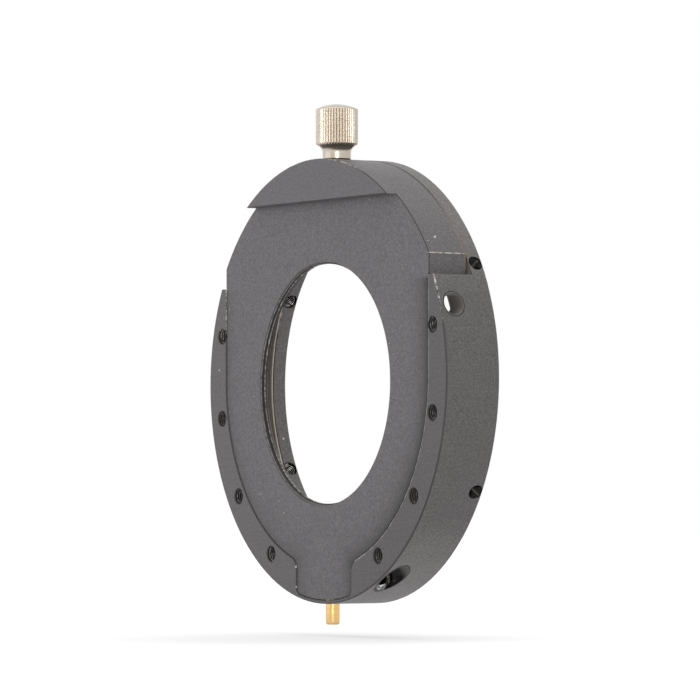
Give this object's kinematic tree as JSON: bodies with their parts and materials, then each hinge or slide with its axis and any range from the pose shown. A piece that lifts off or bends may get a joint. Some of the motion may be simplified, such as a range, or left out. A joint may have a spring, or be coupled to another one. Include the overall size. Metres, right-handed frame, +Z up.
{
  "type": "filter slider with chamber",
  "caption": "Round black filter chamber for an optical train with its lift-out filter slider, knurled thumb screw on top, push-out pin below and tapped holes in the front face.",
  "frame": {"origin": "centre of the rear bore in the back face of the chamber", "axes": "+Z up, the way the slider comes out; +Y along the light path, out of the back face; +X the side with the plunger holes"},
  "size_m": [0.0878, 0.0143, 0.1029],
  "materials": {
    "chamber_anodised": "fine bead-blasted, black anodised",
    "slider_anodised": "fine bead-blasted, black anodised",
    "brass": "turned",
    "nickel": "nickel-plated, straight knurled head",
    "black_oxide": "black oxide",
    "bright_steel": "polished"
  },
  "bodies": {
    "chamber": {"chamber_body": "chamber_anodised", "plunger_sleeve": "black_oxide", "plunger_spring": "bright_steel"},
    "slider": {"slider_body": "slider_anodised", "push_pin": "brass"},
    "thumb_screw": {"thumb_screw": "nickel"},
    "plunger_ball": {"plunger_ball": "bright_steel"},
    "clamp_screw_1": {"clamp_screw_1": "black_oxide"},
    "clamp_screw_2": {"clamp_screw_2": "black_oxide"},
    "clamp_screw_3": {"clamp_screw_3": "black_oxide"},
    "clamp_screw_4": {"clamp_screw_4": "black_oxide"},
    "clamp_screw_5": {"clamp_screw_5": "black_oxide"},
    "clamp_screw_6": {"clamp_screw_6": "black_oxide"}
  },
  "joints": [
    {"name": "slider_slide", "type": "slide", "parent": "chamber", "child": "slider", "axis": [0, 0, 1], "range_m": [0, 0.069]},
    {"name": "thumb_screw_turn", "type": "hinge", "parent": "slider", "child": "thumb_screw", "pos_m": [0, -0.00905, 0.04386], "axis": [0, 0, 1], "continuous": true},
    {"name": "plunger_ball_press", "type": "slide", "parent": "chamber", "child": "plunger_ball", "axis": [1, 0, 0], "range_m": [0, 0.0007], "stiffness_N_per_m": 1500, "springref_m": -0.0015, "deforming": ["plunger_spring"]},
    {"name": "clamp_screw_1_feed", "type": "slide", "parent": "chamber", "child": "clamp_screw_1", "axis": [-0.866, 0, -0.5], "range_m": [0, 0.0047]},
    {"name": "clamp_screw_2_feed", "type": "slide", "parent": "chamber", "child": "clamp_screw_2", "axis": [0, 0, -1], "range_m": [0, 0.0047]},
    {"name": "clamp_screw_3_feed", "type": "slide", "parent": "chamber", "child": "clamp_screw_3", "axis": [0.866, 0, -0.5], "range_m": [0, 0.0047]},
    {"name": "clamp_screw_4_feed", "type": "slide", "parent": "chamber", "child": "clamp_screw_4", "axis": [0.866, 0, 0.5], "range_m": [0, 0.0047]},
    {"name": "clamp_screw_5_feed", "type": "slide", "parent": "chamber", "child": "clamp_screw_5", "axis": [0, 0, 1], "range_m": [0, 0.0047]},
    {"name": "clamp_screw_6_feed", "type": "slide", "parent": "chamber", "child": "clamp_screw_6", "axis": [-0.866, 0, 0.5], "range_m": [0, 0.0047]}
  ]
}
